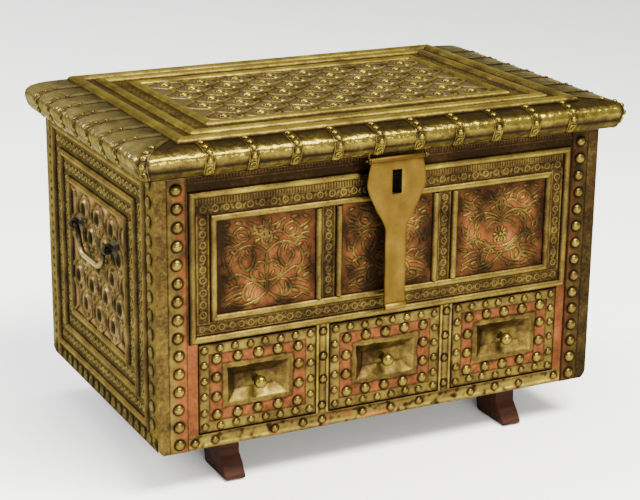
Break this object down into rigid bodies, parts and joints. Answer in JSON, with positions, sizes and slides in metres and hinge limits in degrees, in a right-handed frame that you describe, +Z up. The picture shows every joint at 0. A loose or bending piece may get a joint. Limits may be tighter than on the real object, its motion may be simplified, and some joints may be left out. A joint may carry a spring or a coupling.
{
  "type": "dowry chest",
  "caption": "Wooden chest clad in brass and copper sheet, with a cushion-edged hinged lid, a row of drawers, a hanging hasp, side bails and feet",
  "frame": {"origin": "bottom centre of the whole object's box, on the floor", "axes": "+X right along the front, +Y to the back, +Z up"},
  "size_m": [0.6644, 0.4196, 0.4342],
  "materials": {
    "aged_brass": "thin sheet, hammered and stamped, worn bright on the ridges with brown patina between",
    "plain_brass": "plain thick sheet, satin from handling",
    "copper_sheet": "thin copper sheet, dull and stained",
    "dark_iron": "forged iron, blackened, polished by hands on the grip",
    "dark_wood": "dark stained hardwood, dry and worn"
  },
  "bodies": {
    "chest": {"back_board": "dark_wood", "back_corners": "aged_brass", "back_foot_left": "dark_wood", "back_foot_right": "dark_wood", "base_board": "dark_wood", "body_hinge_leaves": "plain_brass", "chest_floor": "dark_wood", "corner_post_left": "dark_wood", "corner_post_right": "dark_wood", "divider_strips": "aged_brass", "drawer_divider_left": "dark_wood", "drawer_divider_right": "dark_wood", "drawer_guides": "dark_wood", "front_board": "dark_wood", "front_copper": "copper_sheet", "front_corners": "aged_brass", "front_foot_left": "dark_wood", "front_foot_right": "dark_wood", "front_sheet": "aged_brass", "handle_eyes": "dark_iron", "hinge_pins": "plain_brass", "inner_frame": "aged_brass", "mullions": "aged_brass", "outer_frame": "aged_brass", "rail_strip": "aged_brass", "side_board_left": "dark_wood", "side_board_right": "dark_wood", "side_copper": "copper_sheet", "side_frames_left": "aged_brass", "side_frames_right": "aged_brass", "side_lattice_left": "aged_brass", "side_lattice_right": "aged_brass", "side_sheet_left": "aged_brass", "side_sheet_right": "aged_brass"},
    "lid": {"lid_board": "dark_wood", "lid_sheet": "aged_brass", "edge_straps": "aged_brass", "lid_frames": "aged_brass", "lid_copper": "copper_sheet", "lid_lattice": "aged_brass", "lid_hinge_leaves": "plain_brass", "hasp_eyes": "plain_brass", "hasp_pin": "plain_brass"},
    "hasp": {"hasp": "plain_brass"},
    "bail_left": {"side_bail_left": "dark_iron"},
    "bail_right": {"side_bail_right": "dark_iron"},
    "drawer_left": {"drawer_box_left": "dark_wood", "drawer_front_left": "dark_wood", "drawer_face_left": "aged_brass", "drawer_knob_left": "aged_brass"},
    "drawer_middle": {"drawer_box_middle": "dark_wood", "drawer_front_middle": "dark_wood", "drawer_face_middle": "aged_brass", "drawer_knob_middle": "aged_brass"},
    "drawer_right": {"drawer_box_right": "dark_wood", "drawer_front_right": "dark_wood", "drawer_face_right": "aged_brass", "drawer_knob_right": "aged_brass"}
  },
  "joints": [
    {"name": "lid_hinge", "type": "hinge", "parent": "chest", "child": "lid", "pos_m": [0, 0.20535, 0.394], "axis": [-1, 0, 0], "range_deg": [0, 100]},
    {"name": "hasp_hinge", "type": "hinge", "parent": "lid", "child": "hasp", "pos_m": [0, -0.19765, 0.3887], "axis": [-1, 0, 0], "range_deg": [-3, 140]},
    {"name": "drawer_left_slide", "type": "slide", "parent": "chest", "child": "drawer_left", "axis": [0, -1, 0], "range_m": [0, 0.26]},
    {"name": "drawer_middle_slide", "type": "slide", "parent": "chest", "child": "drawer_middle", "axis": [0, -1, 0], "range_m": [0, 0.26]},
    {"name": "drawer_right_slide", "type": "slide", "parent": "chest", "child": "drawer_right", "axis": [0, -1, 0], "range_m": [0, 0.26]},
    {"name": "bail_right_hinge", "type": "hinge", "parent": "chest", "child": "bail_right", "pos_m": [0.311, 0.01135, 0.274], "axis": [0, -1, 0], "range_deg": [-4, 170]},
    {"name": "bail_left_hinge", "type": "hinge", "parent": "chest", "child": "bail_left", "pos_m": [-0.311, 0.01135, 0.274], "axis": [0, 1, 0], "range_deg": [-4, 170]}
  ]
}
